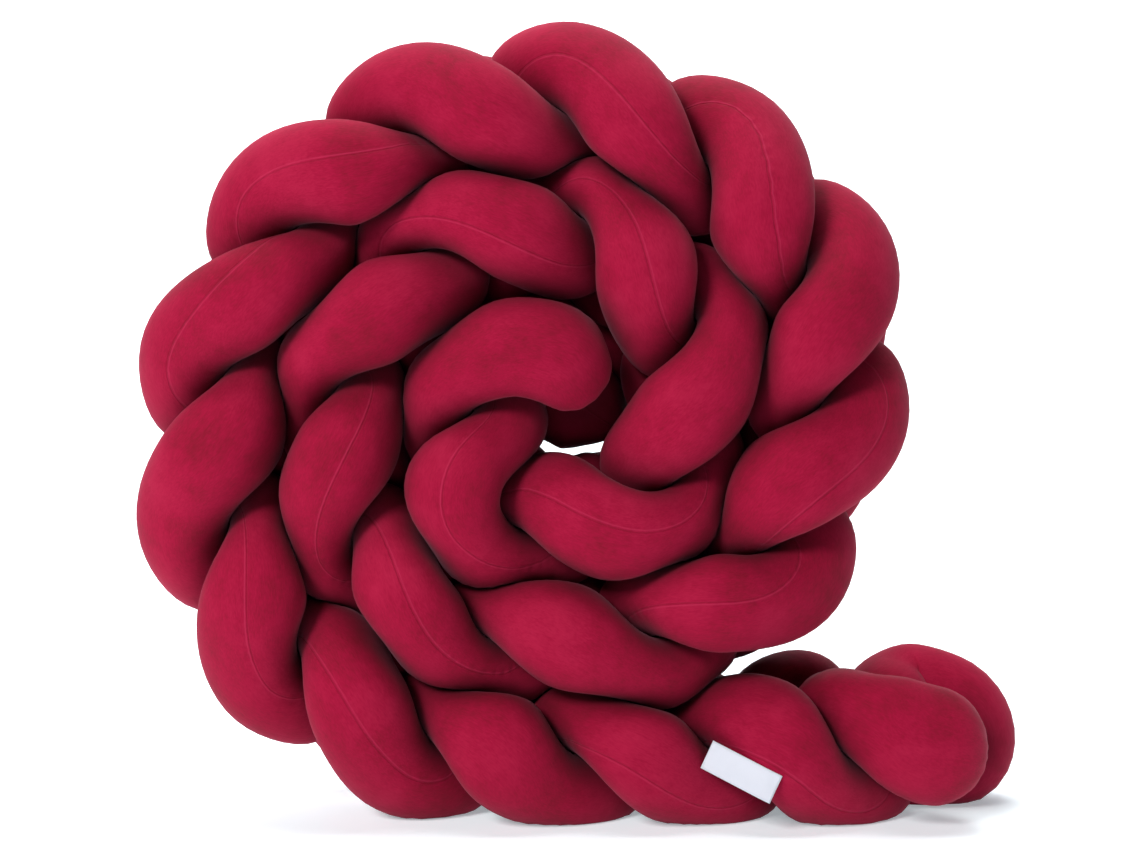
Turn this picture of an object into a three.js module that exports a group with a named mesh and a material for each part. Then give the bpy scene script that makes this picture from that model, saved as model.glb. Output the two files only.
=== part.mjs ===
import * as THREE from "three";

// A crib bumper: two stuffed cloth tubes plaited three ways, one of them folded in half, and rolled
// up. The roll stands on its outer turn, and the plait's loose end lies along the floor to the right.
// Units are millimetres. x runs to the right across the roll's face, y away from that face, z up.

// The plait's middle line, with a row for each bulge along its front edge, from the loose end in to
// the heart of the roll. The first row and the last lie past the plait's ends and give its heading.
const bulges = [
  { x: 430, z: 50 },
  { x: 348, z: 52 },
  { x: 254, z: 60 },
  { x: 189, z: 51 },
  { x: 69, z: 48 },
  { x: -35, z: 46 },
  { x: -155, z: 84 },
  { x: -245, z: 160 },
  { x: -280, z: 276 },
  { x: -258, z: 399 },
  { x: -190, z: 505 },
  { x: -83, z: 555 },
  { x: 38, z: 555 },
  { x: 147, z: 492 },
  { x: 205, z: 404 },
  { x: 190, z: 283 },
  { x: 130, z: 175 },
  { x: 28, z: 133 },
  { x: -122, z: 154 },
  { x: -194, z: 261 },
  { x: -176, z: 387 },
  { x: -75, z: 485 },
  { x: 56, z: 462 },
  { x: 112, z: 343 },
  { x: 48, z: 218 },
  { x: -107, z: 256 },
  { x: -46, z: 387 },
  { x: 42, z: 354 },
  { x: 100, z: 290 },
];

// The plait. A strand's middle line swings edgeReach either side of the plait's middle, towards the
// front and the back, and faceSwing towards the plait's two faces, twice as often. Each swing to the
// front or the back is sharper than a wave's by this share.
const strandCount = 3;
const edgeReach = 54;
const faceSwing = 18;
const sharpness = 0.5;

// At the front each bulge laps over the one before it, by overlap degrees of a strand's turn. That
// fades out towards the heart of the roll.
const overlap = 20;
const fullOverlapUpTo = 22;
const noOverlapFrom = 25;

// In the roll the plait's back edge is drawn in by rearDraw, from one bulge to another on.
const rearDraw = 10;
const rearDrawStart = 4;
const fullRearDrawFrom = 7;

// The three strands: the bulge that each one makes first, and where its plaited stretch runs from
// and to, counted in bulges. The folded tube goes out along one and comes back along another.
const outwardStrand = { ownBulge: 3, from: 25.8, to: 2.1 };
const returnStrand = { ownBulge: 4, from: 2.2, to: 25.2 };
const singleStrand = { ownBulge: 2, from: 2.35, to: 25.3 };

// Where the strands leave the plait. bulge is the place along the plait, y the distance behind its
// middle, and out the distance towards the outside of the roll.
const innerEndOfOutward = [
  { bulge: 27.4, y: 30, out: -20 },
  { bulge: 26.85, y: 32, out: -25 },
  { bulge: 26.3, y: 36, out: -30 },
];
const fold = [
  { bulge: 1.8, y: 38, out: -16 },
  { bulge: 1.5, y: 36, out: -15 },
  { bulge: 1.32, y: 32, out: -6 },
  { bulge: 1.3, y: 28, out: 11 },
  { bulge: 1.5, y: 26, out: 23 },
  { bulge: 1.8, y: 28, out: 28 },
];
const innerEndOfReturn = [
  { bulge: 25.6, y: -14, out: -20 },
  { bulge: 25.8, y: 22, out: 6 },
  { bulge: 26.15, y: 42, out: 24 },
  { bulge: 26.6, y: 46, out: 30 },
  { bulge: 27.1, y: 42, out: 31 },
  { bulge: 27.6, y: 36, out: 28 },
];
const looseEndOfSingle = [
  { bulge: 1.25, y: -44, out: -9 },
  { bulge: 1.55, y: -52, out: -5 },
  { bulge: 1.8, y: -56, out: -2 },
  { bulge: 2.05, y: -55, out: -5 },
];
const innerEndOfSingle = [
  { bulge: 25.5, y: -30, out: 12 },
  { bulge: 25.7, y: -44, out: 11 },
  { bulge: 26, y: -52, out: 1 },
  { bulge: 26.45, y: -48, out: -13 },
  { bulge: 26.7, y: -34, out: -23 },
  { bulge: 26.87, y: -10, out: -31 },
];

// The tubes. Their cloth keeps its girth, so where a tube is squeezed it swells on its free sides,
// up to mostSwell times its free radius.
const girth = 254;
const mostSwell = 1.09;
const radius = girth / (2 * Math.PI);

// A tube is widest across its bend at the plait's edges and flattest where it crosses the others.
const edgeWidening = 1.21;
const crossingNarrowing = 0.36;

// How squarely a tube fills its corners, as the power of a rounded box: fully inside the plait, and
// less towards its front and back edges, from cornerDepth out to edgeDepth from its middle.
const innerSquareness = 6.5;
const edgeSquareness = 3;
const cornerDepth = 20;
const edgeDepth = 65;

// Spaces between the tubes, and how they settle.
const clearance = 6;
const leastSpacing = 46;
const leastHeight = 30;
const floorPress = 6;
const settlingRounds = 80;

// The label, a short tape that lies over the crease between two bulges. Angles are in degrees.
const label = { length: 56, height: 23, thickness: 1, x: 130, y: -86.8, z: 48.5, tilt: 25, turn: 20 };

// How finely the tubes are drawn.
const sides = 12;
const sectionSpacing = 26;
const lineSpacing = 13;
const endSections = 5;
const endDimple = 0.03;

// Stretches of one tube closer than this, along its length, don't press on each other.
const sameStretch = 2.7 * radius;

const plaitMiddle = new THREE.CatmullRomCurve3(
  bulges.map(({ x, z }) => new THREE.Vector3(x, 0, z)),
  false,
  "catmullrom"
);

// A value along the plait's middle line, evened out over the stretch around it.
function evenedOut(bulge, valueAt) {
  const stretch = [-0.4, -0.2, 0, 0.2, 0.4];
  const sum = new THREE.Vector3();
  for (const step of stretch) sum.add(valueAt((bulge + step) / (bulges.length - 1)));
  return sum.divideScalar(stretch.length);
}

// From 0 at the one value evenly up to 1 at the other.
const rise = (value, low, high) => THREE.MathUtils.clamp((value - low) / (high - low), 0, 1);

function besidePlait(bulge, y, out) {
  const heading = evenedOut(bulge, (t) => plaitMiddle.getTangent(t)).normalize();
  const outside = new THREE.Vector3(-heading.z, 0, heading.x);
  const inRoll = rise(bulge, rearDrawStart, fullRearDrawFrom);
  const drawnIn = (rearDraw * inRoll * (1 + y / edgeReach)) / 2;
  const point = evenedOut(bulge, (t) => plaitMiddle.getPoint(t));
  point.addScaledVector(outside, out - drawnIn);
  point.y += y;
  return point;
}

const beside = (rows) => rows.map(({ bulge, y, out }) => besidePlait(bulge, y, out));

// A strand reaches the plait's front edge at its own bulge and at every third one after it.
function plaited({ ownBulge, from, to }) {
  const pointsPerBulge = 8;
  const count = Math.round(Math.abs(to - from) * pointsPerBulge);
  return Array.from({ length: count + 1 }, (_, i) => {
    const bulge = from + ((to - from) * i) / count;
    const turn = (2 * Math.PI * (bulge - ownBulge)) / strandCount;
    const lapping = overlap * (1 - rise(bulge, fullOverlapUpTo, noOverlapFrom));
    const lapped = turn - THREE.MathUtils.degToRad((lapping * (1 + Math.cos(turn))) / 2);
    const y = -edgeReach * Math.cos(lapped) * (1 - sharpness * Math.sin(lapped) ** 2);
    return besidePlait(bulge, y, -faceSwing * Math.sin(2 * turn));
  });
}

function smoothCurve(points) {
  const curve = new THREE.CatmullRomCurve3(points, false, "centripetal");
  curve.arcLengthDivisions = 10 * points.length;
  return curve;
}

// A tube's middle line, as evenly spaced points that can be pushed about.
function tubeLine(name, points) {
  const curve = smoothCurve(points);
  const spaced = curve.getSpacedPoints(Math.round(curve.getLength() / lineSpacing));
  return spaced.map((point, i) => ({
    name,
    along: i * lineSpacing,
    point,
    home: point.clone(),
    push: new THREE.Vector3(),
  }));
}

const pressOnEachOther = (a, b) => a.name !== b.name || Math.abs(a.along - b.along) > sameStretch;

// Stretches closer than leastSpacing are pushed apart, and low ones are lifted off the floor.
function pushApart(all) {
  const sharedPush = 0.25;
  const apart = new THREE.Vector3();
  all.forEach((a, i) => {
    for (const b of all.slice(i + 1)) {
      const distance = apart.subVectors(a.point, b.point).length();
      if (distance < leastSpacing && pressOnEachOther(a, b)) {
        apart.multiplyScalar((sharedPush * (leastSpacing - distance)) / distance);
        a.push.add(apart);
        b.push.sub(apart);
      }
    }
    a.push.z += Math.max(0, (leastHeight - a.point.z) / 2);
  });
}

// Each push is shared with the points before and after it, so that the lines stay smooth.
function settle(lines) {
  const springBack = 0.97;
  for (let round = 0; round < settlingRounds; round += 1) {
    lines.flat().forEach((a) => a.push.subVectors(a.point, a.home));
    pushApart(lines.flat());
    for (const line of lines) {
      line.forEach((a, i) => {
        const before = line[Math.max(i - 1, 0)].push;
        const after = line[Math.min(i + 1, line.length - 1)].push;
        a.point.copy(a.push).multiplyScalar(2).add(before).add(after);
        a.point.multiplyScalar(springBack / 4).add(a.home);
      });
    }
  }
}

// Distances along a tube at which its sections lie, bunched together in its round ends.
function stationsOf(length) {
  const round = Array.from({ length: endSections }, (_, i) => {
    return radius * (1 - Math.cos((Math.PI / 2) * (i / endSections)));
  });
  const straight = length - 2 * radius;
  const count = Math.round(straight / sectionSpacing);
  const middle = Array.from({ length: count + 1 }, (_, i) => radius + (straight * i) / count);
  return [...round, ...middle, ...round.toReversed().map((station) => length - station)];
}

// A section of a tube square to its line: its middle, heading and bend, the directions in which its
// outline is drawn, and how wide the free tube is along each.
function sectionAt(curve, t) {
  const step = lineSpacing / curve.getLength();
  const centre = curve.getPointAt(t);
  const heading = curve.getTangentAt(t);
  const bend = curve.getTangentAt(Math.min(t + step, 1)).sub(curve.getTangentAt(Math.max(t - step, 0)));
  bend.divideScalar(2 * lineSpacing);
  const forward = new THREE.Vector3(0, -1, 0).addScaledVector(heading, heading.y).normalize();
  const side = new THREE.Vector3().crossVectors(heading, forward);
  const widening = edgeWidening - crossingNarrowing * heading.y ** 2;
  const rays = Array.from({ length: sides }, (_, k) => {
    const angle = (2 * Math.PI * k) / sides;
    const direction = forward.clone().multiplyScalar(Math.cos(angle));
    direction.addScaledVector(side, Math.sin(angle));
    const width = 1 / Math.hypot(Math.cos(angle) * widening, Math.sin(angle) / widening);
    return { direction, width };
  });
  return { centre, bend, rays };
}

// How far a section may reach along a direction before it meets the floor, the inside of its own
// bend, or the middle of the space to a neighbour.
function limitAlong(direction, { centre, bend }, neighbours) {
  const insideOfBend = 0.9;
  const floor = direction.z < 0 ? (centre.z + floorPress) / -direction.z : Infinity;
  const inward = bend.dot(direction);
  let limit = inward > 0 ? Math.min(floor, insideOfBend / inward) : floor;
  const offset = new THREE.Vector3();
  for (const { point } of neighbours) {
    const lean = offset.subVectors(point, centre).dot(direction);
    if (lean > 0) limit = Math.min(limit, offset.lengthSq() / (2 * lean) - clearance / 2);
  }
  return limit;
}

function squarenessAt({ direction }, centre) {
  const depth = Math.abs(centre.y + radius * direction.y);
  const share = THREE.MathUtils.smoothstep(depth, cornerDepth, edgeDepth);
  return THREE.MathUtils.lerp(innerSquareness, edgeSquareness, share);
}

// The reach along each ray of a section whose free radius is given.
function outline(freeRadius, rays) {
  return rays.map(({ width, limit, power }) => {
    return ((freeRadius * width) ** -power + limit ** -power) ** (-1 / power);
  });
}

function girthOf(reaches) {
  const corner = Math.cos((2 * Math.PI) / sides);
  return reaches.reduce((sum, a, k) => {
    const b = reaches[(k + 1) % sides];
    return sum + Math.sqrt(a * a + b * b - 2 * a * b * corner);
  }, 0);
}

// The outline that takes up the cloth's whole girth, as far as the tube may swell.
function fullOutline(rays) {
  const facetedGirth = 2 * sides * radius * Math.sin(Math.PI / sides);
  const rounds = 12;
  let freeRadius = radius;
  for (let i = 0; i < rounds; i += 1) {
    freeRadius *= facetedGirth / girthOf(outline(freeRadius, rays));
    freeRadius = Math.min(freeRadius, mostSwell * radius);
  }
  return outline(freeRadius, rays);
}

function tubeGeometry(line, lines) {
  const curve = smoothCurve(line.map(({ point }) => point));
  const length = curve.getLength();
  const rings = stationsOf(length).flatMap((station) => {
    const section = sectionAt(curve, station / length);
    const here = { name: line[0].name, along: (line.at(-1).along * station) / length };
    const neighbours = lines.flat().filter((other) => {
      return pressOnEachOther(here, other) && other.point.distanceTo(section.centre) < 3 * radius;
    });
    for (const ray of section.rays) {
      ray.limit = limitAlong(ray.direction, section, neighbours);
      ray.power = squarenessAt(ray, section.centre);
    }
    const fromEnd = Math.min(station, length - station, radius);
    const rounding = Math.max(Math.sqrt(1 - (1 - fromEnd / radius) ** 2), endDimple);
    return fullOutline(section.rays).map((reach, k) => {
      const point = section.centre.clone().addScaledVector(section.rays[k].direction, reach * rounding);
      point.z = Math.max(point.z, 0);
      return point;
    });
  });
  return closedSkin(rings, curve.getPointAt(0), curve.getPointAt(1));
}

// A closed skin over rings of points, with a point at either end.
function closedSkin(rings, start, end) {
  const ringCount = rings.length / sides;
  const indices = [];
  for (let ring = 0; ring < ringCount; ring += 1) {
    for (let k = 0; k < sides; k += 1) {
      const a = ring * sides + k;
      const b = ring * sides + ((k + 1) % sides);
      if (ring === 0) indices.push(rings.length, b, a);
      if (ring === ringCount - 1) indices.push(rings.length + 1, a, b);
      else indices.push(a, b, b + sides, a, b + sides, a + sides);
    }
  }
  const geometry = new THREE.BufferGeometry().setFromPoints([...rings, start, end]);
  geometry.setIndex(indices);
  return geometry;
}

function makeTube(line, lines) {
  const velour = new THREE.MeshStandardMaterial({ color: 0xa5183c, roughness: 0.9, metalness: 0 });
  const tube = new THREE.Mesh(tubeGeometry(line, lines), velour);
  tube.name = line[0].name;
  return tube;
}

function makeLabel() {
  const tape = new THREE.MeshStandardMaterial({ color: 0xf4f2ef, roughness: 0.8, metalness: 0 });
  const shape = new THREE.BoxGeometry(label.length, label.thickness, label.height);
  const mesh = new THREE.Mesh(shape, tape);
  mesh.name = "label";
  mesh.position.set(label.x, label.y, label.z);
  mesh.rotation.order = "ZYX";
  mesh.rotation.y = THREE.MathUtils.degToRad(label.tilt);
  mesh.rotation.z = THREE.MathUtils.degToRad(-label.turn);
  return mesh;
}

const foldedPoints = [
  ...beside(innerEndOfOutward),
  ...plaited(outwardStrand),
  ...beside(fold),
  ...plaited(returnStrand),
  ...beside(innerEndOfReturn),
];
const singlePoints = [
  ...beside(looseEndOfSingle),
  ...plaited(singleStrand),
  ...beside(innerEndOfSingle),
];
const lines = [tubeLine("folded_tube", foldedPoints), tubeLine("single_tube", singlePoints)];
settle(lines);

const bumper = new THREE.Group();
bumper.add(...lines.map((line) => makeTube(line, lines)), makeLabel());

// The origin is on the floor, under the middle of the whole.
const box = new THREE.Box3().setFromObject(bumper, true);
const middle = box.getCenter(new THREE.Vector3());
bumper.position.set(-middle.x, -middle.y, -box.min.z);
bumper.updateMatrixWorld(true);

export default bumper;
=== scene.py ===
import math

import bpy
import numpy as np
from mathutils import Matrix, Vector, noise
from mathutils.bvhtree import BVHTree


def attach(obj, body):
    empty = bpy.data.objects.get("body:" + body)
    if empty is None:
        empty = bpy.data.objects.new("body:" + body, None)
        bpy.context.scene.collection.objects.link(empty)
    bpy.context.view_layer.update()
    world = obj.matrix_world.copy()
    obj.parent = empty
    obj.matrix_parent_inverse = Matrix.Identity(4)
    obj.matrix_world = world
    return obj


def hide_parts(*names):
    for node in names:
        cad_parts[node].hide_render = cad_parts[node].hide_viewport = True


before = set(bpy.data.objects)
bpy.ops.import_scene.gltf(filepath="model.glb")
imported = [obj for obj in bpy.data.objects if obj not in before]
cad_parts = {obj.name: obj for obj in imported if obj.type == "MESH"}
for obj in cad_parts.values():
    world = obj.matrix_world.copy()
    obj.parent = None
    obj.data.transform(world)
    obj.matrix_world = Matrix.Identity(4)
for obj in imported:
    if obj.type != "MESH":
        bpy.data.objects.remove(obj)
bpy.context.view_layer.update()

mm = 0.001

# The plait, in millimetres, with the floor at z = 0. Bulges are given as the x and z of the plait's
# middle line behind each bulge of its front edge, from the loose end in to the heart of the roll.
plait = {
    "bulges": [
        (430, 50), (348, 52), (254, 60), (189, 51), (69, 48), (-35, 46), (-155, 84),
        (-245, 160), (-280, 276), (-258, 399), (-190, 505), (-83, 555), (38, 555), (147, 492),
        (205, 404), (190, 283), (130, 175), (28, 133), (-122, 154), (-194, 261), (-176, 387),
        (-75, 485), (56, 462), (112, 343), (48, 218), (-107, 256), (-46, 387), (42, 354),
        (100, 290),
    ],
    "strands": 3,
    "edgeReach": 54,             # how far a strand swings to the front and the back
    "sharpness": 0.5,            # 0 swings like a wave, more stays a shorter time at the edges
    "faceSwing": 18,             # and towards the plait's two faces, twice as often
    "overlap": 20,               # degrees of turn by which each bulge laps over the one before it
    "overlapFades": (22, 25),    # between these bulges
    "rearDraw": 10,              # how far the roll's back edge is drawn in towards its middle
    "rearDrawGrows": (4, 7),     # between these bulges
    "evening": 0.4,              # the middle line is evened out over this many bulges either way
    "eveningSamples": 5,
    "shift": (-12.664, 0.850),   # x and y from the plait's own middle to the middle of the part
}

# A strand's own bulge is the first that it makes. Starts, folds and ends are rows of the bulge, y
# behind the plait's middle, and the distance towards the outside of the roll. Seam rows are the
# bulge and the seam's turn round the tube there, in degrees from the front towards the outside.
foldedTube = {
    "name": "foldedTubeCloth",
    "node": "folded_tube",
    "start": [(27.4, 30, -20), (26.85, 32, -25), (26.3, 36, -30)],
    "outward": {"ownBulge": 3, "first": 25.8, "last": 2.1},
    "fold": [
        (1.8, 38, -16), (1.5, 36, -15), (1.32, 32, -6), (1.3, 28, 11), (1.5, 26, 23),
        (1.8, 28, 28),
    ],
    "back": {"ownBulge": 4, "first": 2.2, "last": 25.2},
    "end": [
        (25.6, -14, -20), (25.8, 22, 6), (26.15, 42, 24), (26.6, 46, 30), (27.1, 42, 31),
        (27.6, 36, 28),
    ],
    "seam": [
        (24.4, -14), (23.7, -4), (21.1, -34), (20.7, 4), (18.4, -10), (17.8, -8), (15.5, 40),
        (15.1, 32), (12, 5), (9.4, 56), (8.9, 14), (6.3, 10), (5.8, -6), (3, 20),
        (4, -20), (6.8, 4), (7.3, -10), (9.7, -20), (10.3, -14), (13, -6), (13.5, -26),
        (15.8, -6), (16.5, 6), (18.8, 6), (19.4, 14), (22.3, -2), (25, -8), (25.2, -20),
    ],
}
singleTube = {
    "name": "singleTubeCloth",
    "node": "single_tube",
    "start": [(1.25, -44, 1), (1.55, -52, 0), (1.8, -56, -1), (2.05, -55, -3), (2.3, -49, -8)],
    "outward": {"ownBulge": 2, "first": 2.6, "last": 25.3},
    "end": [
        (25.5, -30, 9), (25.7, -44, 4), (26.0, -53, -8),
        (26.4, -53, -16), (26.62, -43, -19), (26.79, -22, -22),
    ],
    "seam": [(2.4, 180), (25.2, 180)],    # along its back
}


def unit(vectors):
    return vectors / np.linalg.norm(vectors, axis=-1, keepdims=True)


def share(value, limits):
    # from 0 at the lower limit evenly up to 1 at the upper
    low, high = limits
    return np.clip((value - low) / (high - low), 0, 1)


def plaitMiddle(place):
    # where the plait's middle line is at a place counted in bulges, and which way it heads
    rows = np.array(plait["bulges"], float)
    i = min(int(place), len(rows) - 2)
    w = place - i
    before = rows[i - 1] if i else 2 * rows[0] - rows[1]
    after = rows[i + 2] if i + 2 < len(rows) else 2 * rows[-1] - rows[-2]
    here, there = rows[i], rows[i + 1]
    leave, arrive = (there - before) / 2, (after - here) / 2
    bend = 2 * (here - there) + leave + arrive
    sag = 3 * (there - here) - 2 * leave - arrive
    return here + w * (leave + w * (sag + w * bend)), leave + w * (2 * sag + 3 * w * bend)


def besidePlait(place, y, out):
    # a point y behind the plait's middle and out towards the outside of the roll
    steps = np.linspace(-1, 1, plait["eveningSamples"]) * plait["evening"]
    samples = [plaitMiddle(place + step) for step in steps]
    middle = np.mean([point for point, heading in samples], axis=0)
    heading = unit(np.mean([unit(heading) for point, heading in samples], axis=0))
    rearDraw = plait["rearDraw"] * share(place, plait["rearDrawGrows"])
    out -= rearDraw * (1 + y / plait["edgeReach"]) / 2
    return [middle[0] - out * heading[1], y, middle[1] + out * heading[0]]


def strandPoint(ownBulge, place):
    # a strand swings once from front to back in as many bulges as there are strands
    turn = 2 * math.pi * (place - ownBulge) / plait["strands"]
    overlap = math.radians(plait["overlap"]) * (1 - share(place, plait["overlapFades"]))
    lapped = turn - overlap * (1 + math.cos(turn)) / 2
    y = -plait["edgeReach"] * math.cos(lapped) * (1 - plait["sharpness"] * math.sin(lapped) ** 2)
    return besidePlait(place, y, -plait["faceSwing"] * math.sin(2 * turn))


def plaited(strand):
    pointsPerBulge = 8
    count = round(abs(strand["last"] - strand["first"]) * pointsPerBulge)
    places = np.linspace(strand["first"], strand["last"], count + 1)
    return [strandPoint(strand["ownBulge"], place) for place in places]


def tubeCourse(tube):
    points = [besidePlait(*row) for row in tube["start"]] + plaited(tube["outward"])
    if "fold" in tube:
        points += [besidePlait(*row) for row in tube["fold"]] + plaited(tube["back"])
    return np.array(points + [besidePlait(*row) for row in tube["end"]])


# How a stuffed tube fills its place, in millimetres
stuffing = {
    "girth": 254,                 # the cloth's way round, which stays the same where it is squeezed
    "girthRounds": 14,            # in which an outline swells until it takes up the girth
    "mostSwell": 1.09,            # times the free radius
    "edgeWidening": 1.21,         # wider across its bend where it turns at the plait's edges
    "crossingNarrowing": 0.36,    # and narrower where it crosses from edge to edge
    "innerSquareness": 8.5,       # how squarely it fills its corners inside the plait
    "edgeSquareness": 3.0,        # and at its front and back edges
    "squareDepths": (20, 65),     # between these distances from the plait's middle it changes over
    "insideOfBend": 0.9,          # share of the bend's radius that it may reach inwards
    "gap": 1.0,                   # left between two tubes
    "floorPress": 6,              # how deep the stuffing is pressed flat on the floor
    "endDimple": 0.03,            # the gathered end's opening, as a share of the radius
}

radius = stuffing["girth"] / (2 * math.pi)

# How the tubes settle against each other, in millimetres
settling = {
    "rounds": 80,
    "lineSpacing": 13,      # of the points that are pushed
    "leastSpacing": 46,     # of two stretches' middles
    "noticed": 3,           # times that: stretches further apart at the start are left alone
    "leastHeight": 30,      # of a tube's middle
    "liftShare": 0.5,       # of what it lacks, made up in each round
    "pushShare": 0.25,
    "springBack": 0.97,     # share of its move that a point keeps from round to round
}

sameStretch = 2.7 * radius    # nearer than this along a tube is the same stretch of it
headingReach = 4              # over which a line's heading is taken, either way


class SmoothLine:
    # a smooth line through points, with places on it counted in millimetres along it

    def __init__(self, points):
        steps = 24    # from one point to the next
        ends = np.vstack([2 * points[0] - points[1], points, 2 * points[-1] - points[-2]])
        knots = np.sqrt(np.linalg.norm(np.diff(ends, axis=0), axis=1))[:, None]
        a, b, c, d = ends[:-3], ends[1:-2], ends[2:-1], ends[3:]
        ab, bc, cd = knots[:-2], knots[1:-1], knots[2:]
        leave = ((b - a) / ab - (c - a) / (ab + bc) + (c - b) / bc) * bc
        arrive = ((c - b) / bc - (d - b) / (bc + cd) + (d - c) / cd) * bc
        w = (np.arange(steps) / steps)[None, :, None]
        bend = (2 * (b - c) + leave + arrive)[:, None]
        sag = (3 * (c - b) - 2 * leave - arrive)[:, None]
        curve = b[:, None] + w * (leave[:, None] + w * (sag + w * bend))
        self.points = np.vstack([curve.reshape(-1, 3), points[-1:]])
        lengths = np.linalg.norm(np.diff(self.points, axis=0), axis=1)
        self.stations = np.concatenate([[0], np.cumsum(lengths)])
        self.length = self.stations[-1]

    def at(self, stations):
        x, y, z = self.points.T
        return np.stack([np.interp(stations, self.stations, axis) for axis in (x, y, z)], axis=-1)

    def heading(self, stations):
        stations = np.clip(stations, 0, self.length)
        return unit(self.at(stations + headingReach) - self.at(stations - headingReach))

    def bend(self, stations):
        # how fast it turns, per millimetre, and which way
        step = settling["lineSpacing"]
        return (self.heading(stations + step) - self.heading(stations - step)) / (2 * step)

    def nearest(self, point):
        return self.stations[np.argmin(np.linalg.norm(self.points - point, axis=1))]

    def spaced(self, spacing):
        return self.at(np.linspace(0, self.length, round(self.length / spacing) + 1))


def placesOf(lines, spacing):
    # which of the lines each point is on, and how far along it
    owner = np.repeat(np.arange(len(lines)), [len(line) for line in lines])
    along = np.concatenate([np.arange(len(line)) for line in lines]) * spacing
    return owner, along


def settle(lines):
    # pushes stretches that are too close apart, a little more each round, and lifts low ones
    home = np.vstack(lines)
    owner, along = placesOf(lines, settling["lineSpacing"])
    first, second = np.triu_indices(len(home), 1)
    noticed = settling["noticed"] * settling["leastSpacing"]
    near = np.linalg.norm(home[first] - home[second], axis=1) < noticed
    near &= (owner[first] != owner[second]) | (abs(along[first] - along[second]) > sameStretch)
    first, second = first[near], second[near]
    points = home.copy()
    for _ in range(settling["rounds"]):
        push = points - home
        apart = points[first] - points[second]
        distance = np.linalg.norm(apart, axis=1)
        short = np.maximum(settling["leastSpacing"] - distance, 0)
        apart *= (settling["pushShare"] * short / distance)[:, None]
        np.add.at(push, first, apart)
        np.add.at(push, second, -apart)
        push[:, 2] += settling["liftShare"] * np.maximum(settling["leastHeight"] - points[:, 2], 0)
        for tube in range(len(lines)):
            rows = np.flatnonzero(owner == tube)
            padded = np.vstack([push[rows[:1]], push[rows], push[rows[-1:]]])
            shared = (padded[:-2] + 2 * padded[1:-1] + padded[2:]) / 4
            points[rows] = home[rows] + settling["springBack"] * shared
    return [points[owner == tube] for tube in range(len(lines))]


# Unevenness of the cloth and the stuffing, in millimetres
surface = {
    "sides": 64,
    "sectionSpacing": 8.6,         # on a straight stretch
    "bendDetail": 0.8,             # how much closer the sections lie in a bend
    "neighbourSpacing": 6,         # of the points on other stretches that a section looks at
    "endSections": 12,
    "evening": 5,                  # rounds in which the outlines' corners are softened
    "lumpSize": 70,
    "lumpDepth": 1.3,
    "seamDepth": 0.6,
    "seamWidth": 4.5,
    "seamEvening": 45,             # the seam's run is evened out over this length either way
    "seamSamples": 9,
    "pressedFrom": (0.5, 0.95),    # share of the space to a neighbour that the cloth takes up
    "gathers": 13,
    "gatherDepth": 1.6,
}

neighbourReach = 3 * radius    # stretches further away don't press on a section
fineStep = 2                   # of the points at which a tube's bend is measured
leastLean = 1e-6               # a neighbour less than this ahead along a ray doesn't stop it
leastBend = 1e-9               # a line that turns less than this per millimetre is straight


def stationsOf(line):
    # places of the sections along a tube, bunched together in its round ends and where it bends
    end = radius * (1 - np.cos(np.linspace(0, np.pi / 2, surface["endSections"], endpoint=False)))
    fine = np.arange(radius, line.length - radius, fineStep)
    density = 1 + surface["bendDetail"] * radius * np.linalg.norm(line.bend(fine), axis=1)
    steps = np.concatenate([[0], np.cumsum(density[1:] * np.diff(fine))])
    count = round(steps[-1] / surface["sectionSpacing"])
    middle = np.interp(np.linspace(0, steps[-1], count + 1), steps, fine)
    return np.concatenate([end, middle, line.length - end[::-1]])


def reachLimits(tube, stations, centre, bend, rays, others):
    # how far each section may reach along each ray: to the floor, the inside of its own bend, or
    # the middle of the space to another stretch
    limits = np.full(rays.shape[:2], np.inf)
    down = rays[..., 2] < 0
    floor = (centre[:, None, 2] + stuffing["floorPress"]) / np.where(down, -rays[..., 2], 1)
    limits = np.where(down, floor, limits)
    inward = np.einsum("si,ski->sk", bend, rays)
    inside = stuffing["insideOfBend"] / np.maximum(inward, leastBend)
    limits = np.where(inward > leastBend, np.minimum(limits, inside), limits)
    owner, along = placesOf(others, surface["neighbourSpacing"])
    points = np.vstack(others)
    for i, middle in enumerate(centre):
        offset = points - middle
        squared = (offset ** 2).sum(axis=1)
        other = (owner != tube) | (abs(along - stations[i]) > sameStretch)
        near = other & (squared < neighbourReach ** 2)
        lean = rays[i] @ offset[near].T
        space = squared[near] / (2 * np.maximum(lean, leastLean)) - stuffing["gap"] / 2
        space = np.where(lean > leastLean, space, np.inf).min(axis=1, initial=np.inf)
        limits[i] = np.minimum(limits[i], space)
    return limits


def sideLengths(reach):
    # of each outline's straight sides, from every vertex to the next
    after = np.roll(reach, -1, axis=1)
    corner = math.cos(2 * math.pi / surface["sides"])
    return np.sqrt(reach ** 2 + after ** 2 - 2 * reach * after * corner)


def fullOutlines(widths, limits, powers):
    # the reach of each section along its rays, once its outline takes up the cloth's whole girth
    sides = surface["sides"]
    facetedGirth = 2 * sides * radius * math.sin(math.pi / sides)
    free = np.full((len(widths), 1), radius)
    for _ in range(stuffing["girthRounds"]):
        reach = ((free * widths) ** -powers + limits ** -powers) ** (-1 / powers)
        girth = sideLengths(reach).sum(axis=1, keepdims=True)
        free = np.minimum(free * facetedGirth / girth, stuffing["mostSwell"] * radius)
    return reach


def evened(reach):
    # softens the corners of a field over a tube, along it and round it
    for _ in range(surface["evening"]):
        reach = (np.roll(reach, 1, axis=1) + 2 * reach + np.roll(reach, -1, axis=1)) / 4
        reach[1:-1] = (reach[:-2] + 2 * reach[1:-1] + reach[2:]) / 4
    return reach


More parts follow.
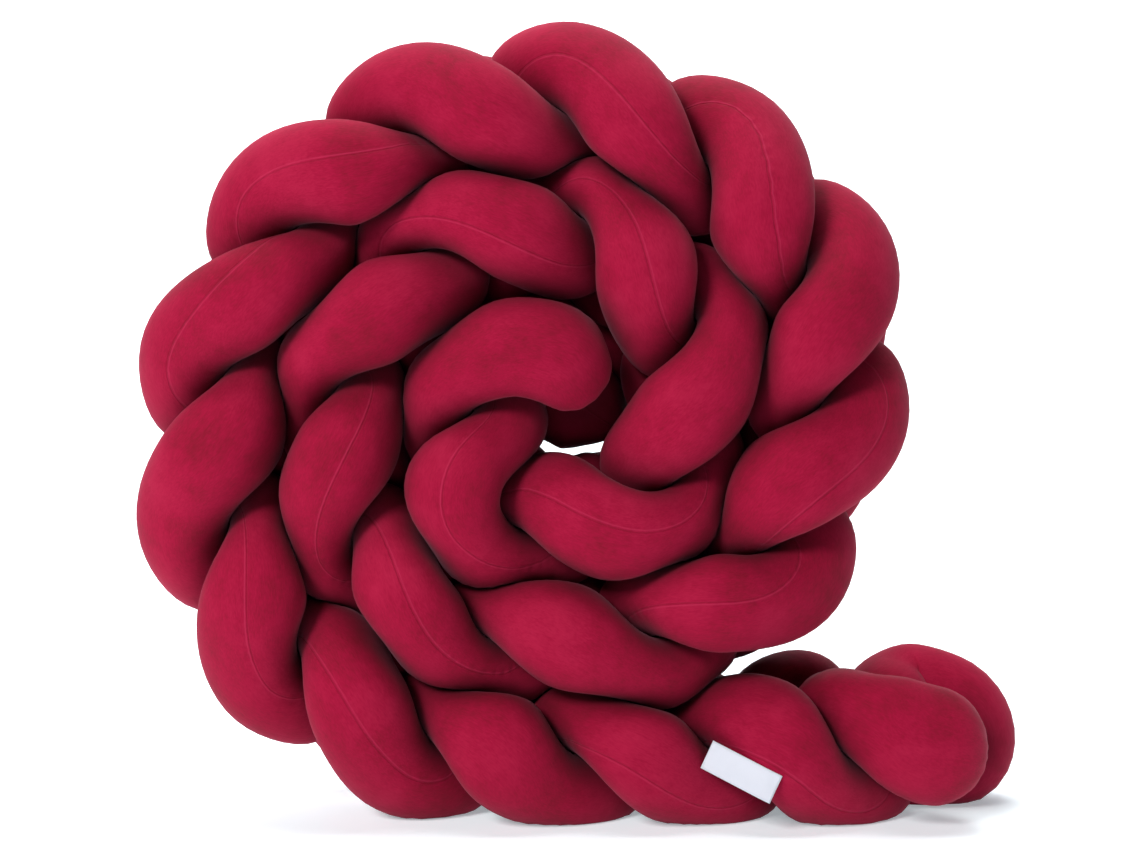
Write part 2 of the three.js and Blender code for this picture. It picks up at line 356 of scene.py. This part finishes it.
def seamTurns(tube, line, stations):
    # the seam's turn round the tube at each station, from the tube's seam rows
    found = []
    for place, turn in tube["seam"]:
        for strand in (tube["outward"], tube.get("back", tube["outward"])):
            if (round(place) - strand["ownBulge"]) % plait["strands"] == 0:
                station = line.nearest(strandPoint(strand["ownBulge"], place))
        found.append((station, turn))
    found.sort()
    nearby = np.linspace(-1, 1, surface["seamSamples"]) * surface["seamEvening"]
    return np.mean([np.interp(stations + step, *zip(*found)) for step in nearby], axis=0)


def wayRound(reach, seamTurn):
    # each vertex's way round the cloth from the seam, as a share of the girth from -0.5 to 0.5
    steps = sideLengths(reach)
    total = steps.sum(axis=1, keepdims=True)
    arc = np.concatenate([np.zeros_like(total), np.cumsum(steps, axis=1)], axis=1) / total
    place = seamTurn / 360 % 1 * surface["sides"]
    whole = place.astype(int)
    rows = np.arange(len(reach))
    seamArc = arc[rows, whole] + (place - whole) * (arc[rows, whole + 1] - arc[rows, whole])
    return (arc[:, :-1] - seamArc[:, None] + 0.5) % 1 - 0.5


def unevenness(points, lumpSize):
    return np.array([noise.noise(Vector(point) / lumpSize) for point in points])


def tubeFaces(rings):
    # between the rings, and a fan at each end round the two vertices that come after them
    sides = surface["sides"]
    last = (rings - 1) * sides
    faces = []
    for ring in range(rings - 1):
        for k in range(sides):
            a, b = ring * sides + k, ring * sides + (k + 1) % sides
            faces.append((a, b, b + sides, a + sides))
    for k in range(sides):
        faces.append((rings * sides, (k + 1) % sides, k))
        faces.append((rings * sides + 1, last + k, last + (k + 1) % sides))
    return faces


def sectionRays(heading, angle):
    # from the middle of each section, the first ray as far to the front as the section allows
    forward = unit(np.array([0, -1, 0]) + heading * heading[:, 1:2])
    side = np.cross(heading, forward)
    return forward[:, None] * np.cos(angle)[:, None] + side[:, None] * np.sin(angle)[:, None]


def outlinePowers(depth):
    # how squarely the outlines fill their limits, at these distances from the plait's middle
    outer = share(depth, stuffing["squareDepths"])
    outer = outer ** 2 * (3 - 2 * outer)    # eased at both depths
    return stuffing["innerSquareness"] * (1 - outer) + stuffing["edgeSquareness"] * outer


def clothMeasure(stations, fromSeam):
    # in metres: across from the seam, towards the seam's side of the tube, and along it
    turned = 2 * math.pi * fromSeam
    along = stations[:, None] + 0 * turned
    cloth = np.stack([np.sin(turned) * radius, np.cos(turned) * radius, along], axis=-1)
    return np.vstack([cloth.reshape(-1, 3), cloth[0, 0], cloth[-1, 0]]) * mm


def tubeMesh(tube, index, lines):
    line = lines[index]
    stations = stationsOf(line)
    centre, heading, bend = line.at(stations), line.heading(stations), line.bend(stations)
    angle = 2 * math.pi * np.arange(surface["sides"]) / surface["sides"]
    rays = sectionRays(heading, angle)

    # the stuffed outlines, and how closely they press against others
    widening = stuffing["edgeWidening"] - stuffing["crossingNarrowing"] * heading[:, 1:2] ** 2
    widths = 1 / np.hypot(np.cos(angle) * widening, np.sin(angle) / widening)
    powers = outlinePowers(abs(centre[:, None, 1] + radius * rays[..., 1]))
    others = [other.spaced(surface["neighbourSpacing"]) for other in lines]
    limits = reachLimits(index, stations, centre, bend, rays, others)
    reach = evened(fullOutlines(widths, limits, powers))
    # pressed is also the mask of the painted crease shade in the velour's colour
    pressed = evened(share(reach / limits, surface["pressedFrom"]) ** 2)

    # the seam, the lumps of the stuffing and the round, gathered ends
    fromSeam = wayRound(reach, seamTurns(tube, line, stations))
    seamDistance = fromSeam * stuffing["girth"]
    reach = reach - surface["seamDepth"] * np.exp(-(seamDistance / surface["seamWidth"]) ** 2)
    fromEnd = np.minimum(np.minimum(stations, line.length - stations), radius)[:, None]
    ending = 1 - fromEnd / radius
    rounding = np.maximum(np.sqrt(1 - ending ** 2), stuffing["endDimple"])
    gather = surface["gatherDepth"] * np.cos(surface["gathers"] * angle) * ending ** 3
    smooth = centre[:, None] + rays * reach[..., None]
    lump = unevenness(smooth.reshape(-1, 3), surface["lumpSize"]).reshape(reach.shape)
    reach = np.minimum((reach + gather + surface["lumpDepth"] * lump) * rounding, limits)

    points = (centre[:, None] + rays * reach[..., None]).reshape(-1, 3)
    points = np.vstack([points, line.at(np.array([0, line.length]))])    # and one at each end
    points[:, 2] = np.maximum(points[:, 2], 0)
    points[:, :2] += plait["shift"]
    pressed = np.concatenate([pressed.ravel(), [0, 0]])
    return points * mm, tubeFaces(len(stations)), clothMeasure(stations, fromSeam), pressed


def addMesh(name, points, faces):
    mesh = bpy.data.meshes.new(name)
    mesh.from_pydata([tuple(point) for point in points], [], faces)
    mesh.polygons.foreach_set("use_smooth", [True] * len(faces))
    mesh.update()
    piece = bpy.data.objects.new(name, mesh)
    bpy.context.scene.collection.objects.link(piece)
    return piece


def makeTube(tube, index, lines):
    points, faces, cloth, pressed = tubeMesh(tube, index, lines)
    piece = addMesh(tube["name"], points, faces)
    measures = piece.data.attributes
    measures.new("cloth", "FLOAT_VECTOR", "POINT").data.foreach_set("vector", cloth.ravel())
    measures.new("pressed", "FLOAT", "POINT").data.foreach_set("value", pressed)
    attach(piece, "root")
    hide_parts(tube["node"])
    print(piece.name, len(faces), "faces")
    return piece


def plug(node, inputs):
    # joins wires to a node's sockets, and sets the others to values
    for name, value in inputs.items():
        if isinstance(value, Wire):
            value.tree.links.new(value.socket, node.inputs[name])
        else:
            node.inputs[name].default_value = value


class Wire:
    # a socket in a material, so that a finish can be written as a sum

    def __init__(self, tree, socket=None):
        self.tree = tree
        self.socket = socket

    def node(self, kind, settings, inputs, output=0):
        made = self.tree.nodes.new(kind)
        for name, value in settings.items():
            setattr(made, name, value)
        plug(made, inputs)
        return Wire(self.tree, made.outputs[output])

    def maths(self, operation, *values):
        return self.node("ShaderNodeMath", {"operation": operation}, dict(enumerate(values)))

    def __add__(self, other):
        return self.maths("ADD", self, other)

    def __sub__(self, other):
        return self.maths("SUBTRACT", self, other)

    def __rsub__(self, other):
        return self.maths("SUBTRACT", other, self)

    def __mul__(self, other):
        return self.maths("MULTIPLY", self, other)

    def __truediv__(self, other):
        return self.maths("DIVIDE", self, other)

    def __rtruediv__(self, other):
        return self.maths("DIVIDE", other, self)

    def __pow__(self, other):
        return self.maths("POWER", self, other)

    def __rpow__(self, other):
        return self.maths("POWER", other, self)

    def __gt__(self, other):
        return self.maths("GREATER_THAN", self, other)

    def __lt__(self, other):
        return self.maths("LESS_THAN", self, other)

    def __abs__(self):
        return self.maths("ABSOLUTE", self)

    __radd__ = __add__
    __rmul__ = __mul__

    def stretched(self, factors):
        return self.node("ShaderNodeVectorMath", {"operation": "MULTIPLY"}, {0: self, 1: factors})

    def sine(self):
        return self.maths("SINE", self)

    def parts(self):
        split = self.node("ShaderNodeSeparateXYZ", {}, {0: self}).socket.node
        return [Wire(self.tree, output) for output in split.outputs]

    def clamped(self):
        return self.maths("MINIMUM", self.maths("MAXIMUM", self, 0.0), 1.0)

    def blend(self, colour, other):
        # this wire is the share of the other colour; a Mix node's colours are its sockets 6 and 7
        return self.node("ShaderNodeMix", {"data_type": "RGBA"}, {0: self, 6: colour, 7: other}, 2)


def newFinish(name):
    material = bpy.data.materials.new(name)
    material.use_nodes = True
    return material, material.node_tree.nodes["Principled BSDF"], Wire(material.node_tree)


def unevenly(wire, place, across, detail):
    # a soft cloudy value about 0.5, of clouds so many metres across
    inputs = {"Vector": place, "Scale": 1 / across, "Detail": detail}
    return wire.node("ShaderNodeTexNoise", {}, inputs)


def bumps(wire, height, strength):
    # from heights in metres
    inputs = {"Strength": strength, "Distance": 1.0, "Height": height}
    return wire.node("ShaderNodeBump", {}, inputs)


# The tubes' cloth
velour = {
    "colour": (0.29, 0.0012, 0.028, 1),
    "deep": (0.19, 0.0015, 0.015, 1),      # where the pile leans away from the light, and the painted shadow beside the seam
    "worn": (0.36, 0.007, 0.042, 1),       # and towards it
    # the seam's thread, lighter as a painted highlight along its ridge
    "threadHighlight": (0.42, 0.02, 0.07, 1),
    "crease": (0.05, 0.0003, 0.004, 1),    # painted shade in the creases, where the cloth is pressed together
    # how strongly the painted crease shade darkens the colour
    "creaseDark": 0.8,
    "sheen": 0.09,
    "sheenRoughness": 0.45,
    "sheenTint": (1, 0.45, 0.58, 1),
    "roughness": 0.88,
    "roughnessSpread": 0.12,
    "specular": 0.15,
    "clouding": 1.35,                      # how strongly the pile's lie clouds the colour
    "cloudsShare": 1.1,                    # what each of these adds to the clouding
    "brushedShare": 0.5,
    "slubsShare": 0.25,
    "pileShare": 0.6,
    "cloudsAcross": 0.08,                  # metres, as all the sizes below
    "brushedAcross": 0.014,
    "slubsAcross": 0.004,
    "pileAcross": 0.0011,
    "wrinklesAcross": 0.016,
    "waleStretch": (1, 1, 0.5),            # the pile's grain is longer along the tube
    "wrinkleStretch": (0.3, 0.3, 1),       # and wrinkles run round it
    "seamHalfWidth": 0.0010,
    "seamHighlight": 0.55,                     # the thread line, lightened as a painted highlight on its ridge, and the painted shadow beside it
    "seamShadow": 0.5,
    "puckerPitch": 0.0085,
    "puckerReach": 0.010,
    "puckerWander": 9.0,
    "bumpStrength": 0.6,
    "brushedHeight": 0.0006,
    "pileHeight": 0.00014,
    "seamHeight": 0.0005,
    "puckerHeight": 0.00035,
    "wrinkleHeight": 0.0004,
    "creaseWrinkleHeight": 0.0016,         # more where the cloth is pressed
}


def makeVelour():
    material, shader, wire = newFinish("velour")
    place = wire.node("ShaderNodeTexCoord", {}, {}, "Object")
    cloth = wire.node("ShaderNodeAttribute", {"attribute_name": "cloth"}, {}, "Vector")
    # pressed masks the painted crease shade and the deeper wrinkles
    pressed = wire.node("ShaderNodeAttribute", {"attribute_name": "pressed"}, {}, "Fac")
    across, seamSide, along = cloth.parts()
    wales = cloth.stretched(velour["waleStretch"])
    gathered = cloth.stretched(velour["wrinkleStretch"])
    clouds = unevenly(wire, place, velour["cloudsAcross"], 2.0)
    brushed = unevenly(wire, place, velour["brushedAcross"], 4.0)
    pile = unevenly(wire, wales, velour["pileAcross"], 2.0)
    slubs = unevenly(wire, wales, velour["slubsAcross"], 2.0)
    wrinkles = unevenly(wire, gathered, velour["wrinklesAcross"], 2.0)

    halfWidth = velour["seamHalfWidth"]
    fromSeam = abs(across)
    onSeamSide = seamSide > 0.0
    line = (1 - fromSeam / halfWidth).clamped() * onSeamSide
    shade = (1 - abs(across - 2 * halfWidth) / halfWidth).clamped() * onSeamSide
    pucker = (1 - fromSeam / velour["puckerReach"]).clamped() ** 2.0 * onSeamSide
    turns = along * (2 * math.pi / velour["puckerPitch"]) + clouds * velour["puckerWander"]
    ripple = turns.sine()

    tone = (clouds - 0.5) * velour["cloudsShare"] + (brushed - 0.5) * velour["brushedShare"]
    tone = tone + (slubs - 0.5) * velour["slubsShare"] + (pile - 0.5) * velour["pileShare"]
    lie = (tone * velour["clouding"] + 0.5).clamped()
    light = (lie * 2.0 - 1.0).clamped().blend(velour["colour"], velour["worn"])
    colour = (1 - lie * 2.0).clamped().blend(light, velour["deep"])
    shaded = (shade * velour["seamShadow"]).blend(colour, velour["deep"])
    # the thread line: the thread with a painted highlight along the seam's ridge
    seamed = (line * velour["seamHighlight"]).blend(shaded, velour["threadHighlight"])
    # painted crease shade: the colour darkens where the cloth presses on a neighbour
    creased = (pressed * velour["creaseDark"]).blend(seamed, velour["crease"])

    height = pile * velour["pileHeight"] + brushed * velour["brushedHeight"]
    height = height - shade * velour["seamHeight"] + ripple * pucker * velour["puckerHeight"]
    deeper = pressed * velour["creaseWrinkleHeight"] + velour["wrinkleHeight"]
    plug(shader, {
        "Base Color": creased,
        "Roughness": velour["roughness"] + (brushed - 0.5) * velour["roughnessSpread"],
        "Specular IOR Level": velour["specular"],
        "Sheen Weight": velour["sheen"],
        "Sheen Roughness": velour["sheenRoughness"],
        "Sheen Tint": velour["sheenTint"],
        "Normal": bumps(wire, height + wrinkles * deeper, velour["bumpStrength"]),
    })
    print("velour ready")
    return material


# A bare woven tape drawn taut over the crease between two bulges, in millimetres
label = {
    "length": 56,
    "height": 23,
    "thickness": 0.8,
    "lift": 0.2,               # of its back from the cloth
    "middle": (130, 48.5),     # x and z
    "tilt": 25,                # degrees down to the right
    "inFront": -500,           # y from which the cloth's depth is felt for
    "columns": 28,
    "rows": 10,
    "colour": (0.68, 0.69, 0.76, 1),
    "soiled": (0.56, 0.57, 0.64, 1),
    "cloudsShare": 0.6,        # what the clouds and the threads add to the soiling
    "threadShare": 0.15,
    "roughness": 0.7,
    "sheen": 0.1,
    "threadWander": 0.4,
    "threadPitch": 0.0006,     # metres, as the sizes below
    "cloudsAcross": 0.011,
    "threadHeight": 0.00006,
    "cloudsHeight": 0.0001,
    "bumpStrength": 0.7,
}


def tautOver(lengths, depths):
    # a tape drawn over cloth at these depths touches it only where the cloth stands out
    taut = []
    for i, length in enumerate(lengths):
        least = depths[i]
        for a in range(i + 1):
            for b in range(i, len(lengths)):
                if a < b:
                    part = (length - lengths[a]) / (lengths[b] - lengths[a])
                    least = min(least, depths[a] + part * (depths[b] - depths[a]))
        taut.append(least)
    return np.array(taut)


def labelPlace(length, height):
    # x and z of a place on the label, which is tilted
    tilt = math.radians(label["tilt"])
    right = np.array([math.cos(tilt), -math.sin(tilt)])
    up = np.array([math.sin(tilt), math.cos(tilt)])
    middle = np.array(label["middle"]) + [plait["shift"][0], 0]
    return middle + right * length + up * height


def clothDepths(tubes, lengths, heights):
    # y of the foremost cloth behind each column of the label
    ground = []
    for tube in tubes:
        corners = [vertex.co for vertex in tube.data.vertices]
        faces = [face.vertices for face in tube.data.polygons]
        ground.append(BVHTree.FromPolygons(corners, faces))
    depths = []
    for length in lengths:
        hits = []
        for height in heights:
            x, z = labelPlace(length, height) * mm
            start = Vector((x, label["inFront"] * mm, z))
            hits += [tree.ray_cast(start, Vector((0, 1, 0)))[0] for tree in ground]
        depths.append(min(hit.y for hit in hits if hit) / mm)
    return np.array(depths)


def labelFaces():
    # a back and a front, joined round the rim
    columns, rows = label["columns"], label["rows"]
    across = columns + 1
    layer = across * (rows + 1)
    faces = []
    for row in range(rows):
        for column in range(columns):
            a = row * across + column
            faces.append((a, a + across, a + across + 1, a + 1))
            faces.append((layer + a, layer + a + 1, layer + a + across + 1, layer + a + across))
    rim = list(range(across))
    rim += [row * across + columns for row in range(1, rows + 1)]
    rim += [rows * across + column for column in range(columns - 1, -1, -1)]
    rim += [row * across for row in range(rows - 1, 0, -1)]
    for a, b in zip(rim, rim[1:] + rim[:1]):
        faces.append((a, b, b + layer, a + layer))
    return faces


def makeLabel(tubes):
    lengths = np.linspace(-0.5, 0.5, label["columns"] + 1) * label["length"]
    heights = np.linspace(-0.5, 0.5, label["rows"] + 1) * label["height"]
    back = tautOver(lengths, clothDepths(tubes, lengths, heights))
    points = []
    for lift in (label["lift"], label["lift"] + label["thickness"]):
        for height in heights:
            for length, y in zip(lengths, back):
                x, z = labelPlace(length, height)
                points.append((x * mm, (y - lift) * mm, z * mm))
    piece = addMesh("tapeLabel", points, labelFaces())
    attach(piece, "root")
    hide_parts("label")
    print(piece.name, len(piece.data.polygons), "faces")
    return piece


def makeTape():
    material, shader, wire = newFinish("tape")
    place = wire.node("ShaderNodeTexCoord", {}, {}, "Object")
    bandPitch = 0.314    # metres, of a wave texture at scale 1
    scale = bandPitch / label["threadPitch"]
    weave = wire.node(
        "ShaderNodeTexWave",
        {"wave_type": "BANDS", "bands_direction": "Z"},
        {"Vector": place, "Scale": scale, "Distortion": label["threadWander"]},
        "Fac",
    )
    clouds = unevenly(wire, place, label["cloudsAcross"], 3.0)
    tone = ((clouds - 0.5) * label["cloudsShare"] + weave * label["threadShare"]).clamped()
    height = weave * label["threadHeight"] + clouds * label["cloudsHeight"]
    plug(shader, {
        "Base Color": tone.blend(label["colour"], label["soiled"]),
        "Roughness": label["roughness"],
        "Sheen Weight": label["sheen"],
        "Normal": bumps(wire, height, label["bumpStrength"]),
    })
    print("tape ready")
    return material


# A pale floor that curves up behind, a large soft light from the upper left and one on the
# backdrop, in metres and watts
studio = {
    "floorColour": (0.88, 0.93, 0.95, 1),
    "spotColour": (0.83, 0.88, 0.90, 1),
    "spotShare": 0.1,
    "spotsAcross": 0.0033,
    "floorRoughness": 0.9,
    "floorSpecular": 0.1,
    "floorGlow": (0.82, 0.95, 1.0, 1),    # lightens the shadows on the floor
    "floorGlowStrength": 0.36,
    "halfWidth": 6.0,
    "front": -3.5,
    "back": 2.2,
    "bend": 1.2,
    "bendSteps": 16,
    "height": 4.0,
    "keyLight": {"place": (-1.6, -2.2, 1.9), "aim": (0, 0, 0.28), "size": 0.9, "power": 80},
    "wallLight": {"place": (0, 0.6, 3.2), "aim": (0, 2.2, 0.8), "size": 2.5, "power": 140},
    "worldColour": (1, 1, 1, 1),
    "worldStrength": 0.005,
}


def makeStage():
    bend = studio["bend"]
    profile = [(studio["front"], 0.0)]
    for turn in np.linspace(0, math.pi / 2, studio["bendSteps"] + 1):
        profile.append((studio["back"] - bend + bend * math.sin(turn), bend * (1 - math.cos(turn))))
    profile.append((studio["back"], studio["height"]))
    points = [(x, y, z) for y, z in profile for x in (-studio["halfWidth"], studio["halfWidth"])]
    faces = [(2 * i, 2 * i + 1, 2 * i + 3, 2 * i + 2) for i in range(len(profile) - 1)]
    floor = addMesh("paleFloor", points, faces)
    material, shader, wire = newFinish("paleFloor")
    place = wire.node("ShaderNodeTexCoord", {}, {}, "Object")
    spots = unevenly(wire, place, studio["spotsAcross"], 2.0) * studio["spotShare"]
    plug(shader, {
        "Base Color": spots.blend(studio["floorColour"], studio["spotColour"]),
        "Roughness": studio["floorRoughness"],
        "Specular IOR Level": studio["floorSpecular"],
        "Emission Color": studio["floorGlow"],
        "Emission Strength": studio["floorGlowStrength"],
    })
    floor.data.materials.append(material)


def makeLight(name):
    wanted = studio[name]
    lamp = bpy.data.lights.new(name, "AREA")
    lamp.size = wanted["size"]
    lamp.energy = wanted["power"]
    light = bpy.data.objects.new(name, lamp)
    light.location = wanted["place"]
    aim = Vector(wanted["aim"]) - Vector(wanted["place"])
    light.rotation_euler = aim.to_track_quat("-Z", "Y").to_euler()
    bpy.context.scene.collection.objects.link(light)


def makeStudio():
    makeStage()
    makeLight("keyLight")
    makeLight("wallLight")
    world = bpy.data.worlds.new("studio")
    world.use_nodes = True
    sky = world.node_tree.nodes["Background"]
    plug(sky, {"Color": studio["worldColour"], "Strength": studio["worldStrength"]})
    bpy.context.scene.world = world
    bpy.context.scene.view_settings.view_transform = "Standard"
    print("studio ready")


# The camera looks level at the plait's front edge
view = {
    "frontEdge": -54,     # y in millimetres, before the plait's shift
    "distance": 1.1,      # metres, as the height
    "height": 0.310,
    "lens": 44.5,
    "farthest": 50,
}


def makeCamera():
    camera = bpy.data.objects.new("camera", bpy.data.cameras.new("camera"))
    camera.data.lens = view["lens"]
    camera.data.clip_end = view["farthest"]
    x, y = plait["shift"]
    camera.location = (x * mm, (view["frontEdge"] + y) * mm - view["distance"], view["height"])
    camera.rotation_euler = (math.pi / 2, 0, 0)
    bpy.context.scene.collection.objects.link(camera)
    bpy.context.scene.camera = camera


makeCamera()
makeStudio()
tubeRows = [foldedTube, singleTube]
courses = [SmoothLine(tubeCourse(tube)).spaced(settling["lineSpacing"]) for tube in tubeRows]
settled = [SmoothLine(points) for points in settle(courses)]
print("tubes settled:", [round(line.length) for line in settled], "mm long")
tubePieces = [makeTube(tube, index, settled) for index, tube in enumerate(tubeRows)]
cloth = makeVelour()
for piece in tubePieces:
    piece.data.materials.append(cloth)
labelPiece = makeLabel(tubePieces)
labelPiece.data.materials.append(makeTape())
